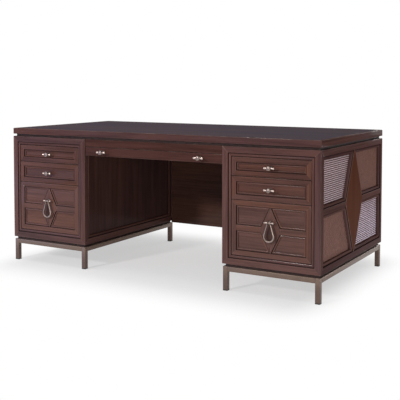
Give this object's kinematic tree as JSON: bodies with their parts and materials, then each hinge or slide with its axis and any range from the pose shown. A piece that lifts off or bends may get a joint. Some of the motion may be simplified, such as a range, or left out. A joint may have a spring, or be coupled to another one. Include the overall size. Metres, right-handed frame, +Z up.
{
  "type": "executive desk",
  "caption": "Double-pedestal executive desk with sliding drawers, a kneehole, cane side panels with a raised diamond, cast pulls with swinging bails and square-tube bases.",
  "frame": {"origin": "on the floor, at the middle of the bounding box, pulls included", "axes": "+X along the desk's width to the sitter's right, +Z up; the drawers open towards -Y"},
  "size_m": [1.88, 0.945, 0.762],
  "materials": {
    "stained_wood": "satin lacquer over dark stain",
    "dark_wood": "dark stain",
    "drawer_wood": "clear matt",
    "cane": "woven, stained",
    "bronze": "brushed bronze",
    "pull_metal": "antiqued, polished",
    "slide_steel": "zinc plated",
    "rail_aluminium": "satin",
    "glide_plastic": "moulded"
  },
  "bodies": {
    "desk": {"apron_rail": "stained_wood", "assembly_screws": "slide_steel", "base_spacers": "dark_wood", "cabinet_slides": "slide_steel", "carcase_boards": "drawer_wood", "desk_top": "stained_wood", "floor_glides": "glide_plastic", "left_back_panel": "stained_wood", "left_base_frame": "bronze", "left_cane_panels": "cane", "left_face_frame": "stained_wood", "left_inner_side": "stained_wood", "left_outer_frame": "stained_wood", "modesty_panel": "stained_wood", "right_back_panel": "stained_wood", "right_base_frame": "bronze", "right_cane_panels": "cane", "right_face_frame": "stained_wood", "right_inner_side": "stained_wood", "right_outer_frame": "stained_wood", "runner_battens": "drawer_wood", "side_diamonds": "stained_wood", "side_liners": "dark_wood", "top_lipping": "stained_wood", "top_reveal": "dark_wood"},
    "left_top_drawer": {"left_top_drawer_front": "stained_wood", "left_top_drawer_box": "drawer_wood", "left_top_drawer_slides": "slide_steel", "left_top_drawer_pull": "pull_metal"},
    "left_middle_drawer": {"left_middle_drawer_front": "stained_wood", "left_middle_drawer_box": "drawer_wood", "left_middle_drawer_slides": "slide_steel", "left_middle_drawer_pull": "pull_metal"},
    "left_file_drawer": {"left_file_drawer_front": "stained_wood", "left_file_drawer_box": "drawer_wood", "left_file_drawer_slides": "slide_steel", "left_file_drawer_pull": "pull_metal", "left_file_drawer_rails": "rail_aluminium"},
    "left_file_slide_middles": {"left_file_slide_middles": "slide_steel"},
    "left_file_bail": {"left_file_bail": "pull_metal"},
    "right_top_drawer": {"right_top_drawer_front": "stained_wood", "right_top_drawer_box": "drawer_wood", "right_top_drawer_slides": "slide_steel", "right_top_drawer_pull": "pull_metal"},
    "right_middle_drawer": {"right_middle_drawer_front": "stained_wood", "right_middle_drawer_box": "drawer_wood", "right_middle_drawer_slides": "slide_steel", "right_middle_drawer_pull": "pull_metal"},
    "right_file_drawer": {"right_file_drawer_front": "stained_wood", "right_file_drawer_box": "drawer_wood", "right_file_drawer_slides": "slide_steel", "right_file_drawer_pull": "pull_metal", "right_file_drawer_rails": "rail_aluminium"},
    "right_file_slide_middles": {"right_file_slide_middles": "slide_steel"},
    "right_file_bail": {"right_file_bail": "pull_metal"},
    "pencil_drawer": {"pencil_drawer_front": "stained_wood", "pencil_drawer_box": "drawer_wood", "pencil_drawer_slides": "slide_steel", "pencil_drawer_pulls": "pull_metal"}
  },
  "joints": [
    {"name": "left_top_drawer_slide", "type": "slide", "parent": "desk", "child": "left_top_drawer", "axis": [0, -1, 0], "range_m": [0, 0.4]},
    {"name": "left_middle_drawer_slide", "type": "slide", "parent": "desk", "child": "left_middle_drawer", "axis": [0, -1, 0], "range_m": [0, 0.4]},
    {"name": "left_file_drawer_slide", "type": "slide", "parent": "desk", "child": "left_file_drawer", "axis": [0, -1, 0], "range_m": [0, 0.54]},
    {"name": "left_file_slide_middles_slide", "type": "slide", "parent": "desk", "child": "left_file_slide_middles", "axis": [0, -1, 0], "range_m": [0, 0.27]},
    {"name": "left_file_bail_swing", "type": "hinge", "parent": "left_file_drawer", "child": "left_file_bail", "pos_m": [-0.6825, -0.4535, 0.36], "axis": [-1, 0, 0], "range_deg": [-7.5, 165]},
    {"name": "right_top_drawer_slide", "type": "slide", "parent": "desk", "child": "right_top_drawer", "axis": [0, -1, 0], "range_m": [0, 0.4]},
    {"name": "right_middle_drawer_slide", "type": "slide", "parent": "desk", "child": "right_middle_drawer", "axis": [0, -1, 0], "range_m": [0, 0.4]},
    {"name": "right_file_drawer_slide", "type": "slide", "parent": "desk", "child": "right_file_drawer", "axis": [0, -1, 0], "range_m": [0, 0.54]},
    {"name": "right_file_slide_middles_slide", "type": "slide", "parent": "desk", "child": "right_file_slide_middles", "axis": [0, -1, 0], "range_m": [0, 0.27]},
    {"name": "right_file_bail_swing", "type": "hinge", "parent": "right_file_drawer", "child": "right_file_bail", "pos_m": [0.6825, -0.4535, 0.36], "axis": [-1, 0, 0], "range_deg": [-7.5, 165]},
    {"name": "pencil_drawer_slide", "type": "slide", "parent": "desk", "child": "pencil_drawer", "axis": [0, -1, 0], "range_m": [0, 0.28]}
  ],
  "couplings": [
    {"joint": "left_file_slide_middles_slide", "follows": "left_file_drawer_slide", "ratio": 0.5},
    {"joint": "right_file_slide_middles_slide", "follows": "right_file_drawer_slide", "ratio": 0.5}
  ]
}
